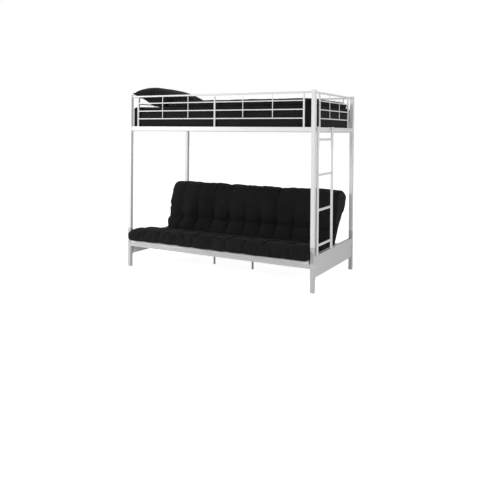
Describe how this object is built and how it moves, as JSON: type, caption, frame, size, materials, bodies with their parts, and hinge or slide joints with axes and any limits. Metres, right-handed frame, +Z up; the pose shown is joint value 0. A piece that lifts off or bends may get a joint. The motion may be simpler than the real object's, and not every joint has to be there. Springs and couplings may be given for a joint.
{
  "type": "metal loft bed with futon",
  "caption": "Metal loft bed with a guarded upper bunk, hooked end ladder and a tufted futon sofa whose seat slides out as its back folds flat",
  "frame": {"origin": "on the floor, under the middle of the bed's overall box", "axes": "X along the bed towards the ladder, Y to the back, Z up"},
  "size_m": [2.0023, 1.0478, 1.7704],
  "materials": {
    "white_coated_steel": "satin",
    "pale_grey_coated_steel": "satin",
    "zinc_plated_steel": "satin",
    "white_plastic": "matt",
    "nylon": "matt",
    "black_mattress_fabric": "matt",
    "black_duvet_fabric": "matt",
    "black_pillow_fabric": "matt",
    "black_futon_fabric": "matt"
  },
  "bodies": {
    "frame": {"post_front_left": "white_coated_steel", "post_front_right": "white_coated_steel", "post_back_left": "white_coated_steel", "post_back_right": "white_coated_steel", "leg_front_left": "pale_grey_coated_steel", "leg_front_right": "pale_grey_coated_steel", "leg_back_left": "pale_grey_coated_steel", "leg_back_right": "pale_grey_coated_steel", "post_caps": "white_plastic", "feet": "white_plastic", "upper_rail_front": "white_coated_steel", "upper_rail_back": "white_coated_steel", "upper_rail_left": "white_coated_steel", "upper_rail_right": "white_coated_steel", "slats": "white_coated_steel", "bolted_slats": "white_coated_steel", "guard_top_front": "white_coated_steel", "guard_top_back": "white_coated_steel", "guard_top_left": "white_coated_steel", "guard_top_right": "white_coated_steel", "guard_stiles_front": "white_coated_steel", "guard_stiles_back": "white_coated_steel", "guard_stiles_left": "white_coated_steel", "guard_stiles_right": "white_coated_steel", "guard_grille_front": "white_coated_steel", "guard_grille_back": "white_coated_steel", "guard_grille_left": "white_coated_steel", "guard_grille_right": "white_coated_steel", "frame_bolts": "zinc_plated_steel", "ladder_stile_front": "white_coated_steel", "ladder_stile_back": "white_coated_steel", "ladder_rungs": "white_coated_steel", "ladder_feet": "pale_grey_coated_steel", "end_panel_left": "pale_grey_coated_steel", "end_panel_right": "pale_grey_coated_steel", "guide_plate_left": "white_coated_steel", "guide_plate_right": "white_coated_steel", "lower_rail_front": "pale_grey_coated_steel", "lower_rail_back": "pale_grey_coated_steel", "centre_rail": "white_coated_steel", "centre_legs": "white_coated_steel", "upper_mattress": "black_mattress_fabric", "duvet": "black_duvet_fabric", "pillow": "black_pillow_fabric"},
    "seat": {"seat_front_tube": "white_coated_steel", "seat_back_tube": "white_coated_steel", "seat_side_tubes": "white_coated_steel", "seat_cross_tubes": "white_coated_steel", "seat_mesh": "white_coated_steel", "seat_glides": "nylon", "seat_cushion": "black_futon_fabric"},
    "back": {"back_top_tube": "white_coated_steel", "back_bottom_tube": "white_coated_steel", "back_side_tubes": "white_coated_steel", "back_cross_tubes": "white_coated_steel", "back_mesh": "white_coated_steel", "hinge_shafts": "zinc_plated_steel", "cam_levers": "zinc_plated_steel", "back_cushion": "black_futon_fabric"}
  },
  "joints": [
    {"name": "seat_slide", "type": "slide", "parent": "frame", "child": "seat", "axis": [0, -1, 0], "range_m": [0, 0.26]},
    {"name": "back_fold", "type": "hinge", "parent": "seat", "child": "back", "pos_m": [-0.0065, 0.14625, 0.2505], "axis": [-1, 0, 0], "range_deg": [0, 66]}
  ],
  "couplings": [
    {"joint": "back_fold", "follows": "seat_slide", "rad_per_m": 4.4304}
  ]
}
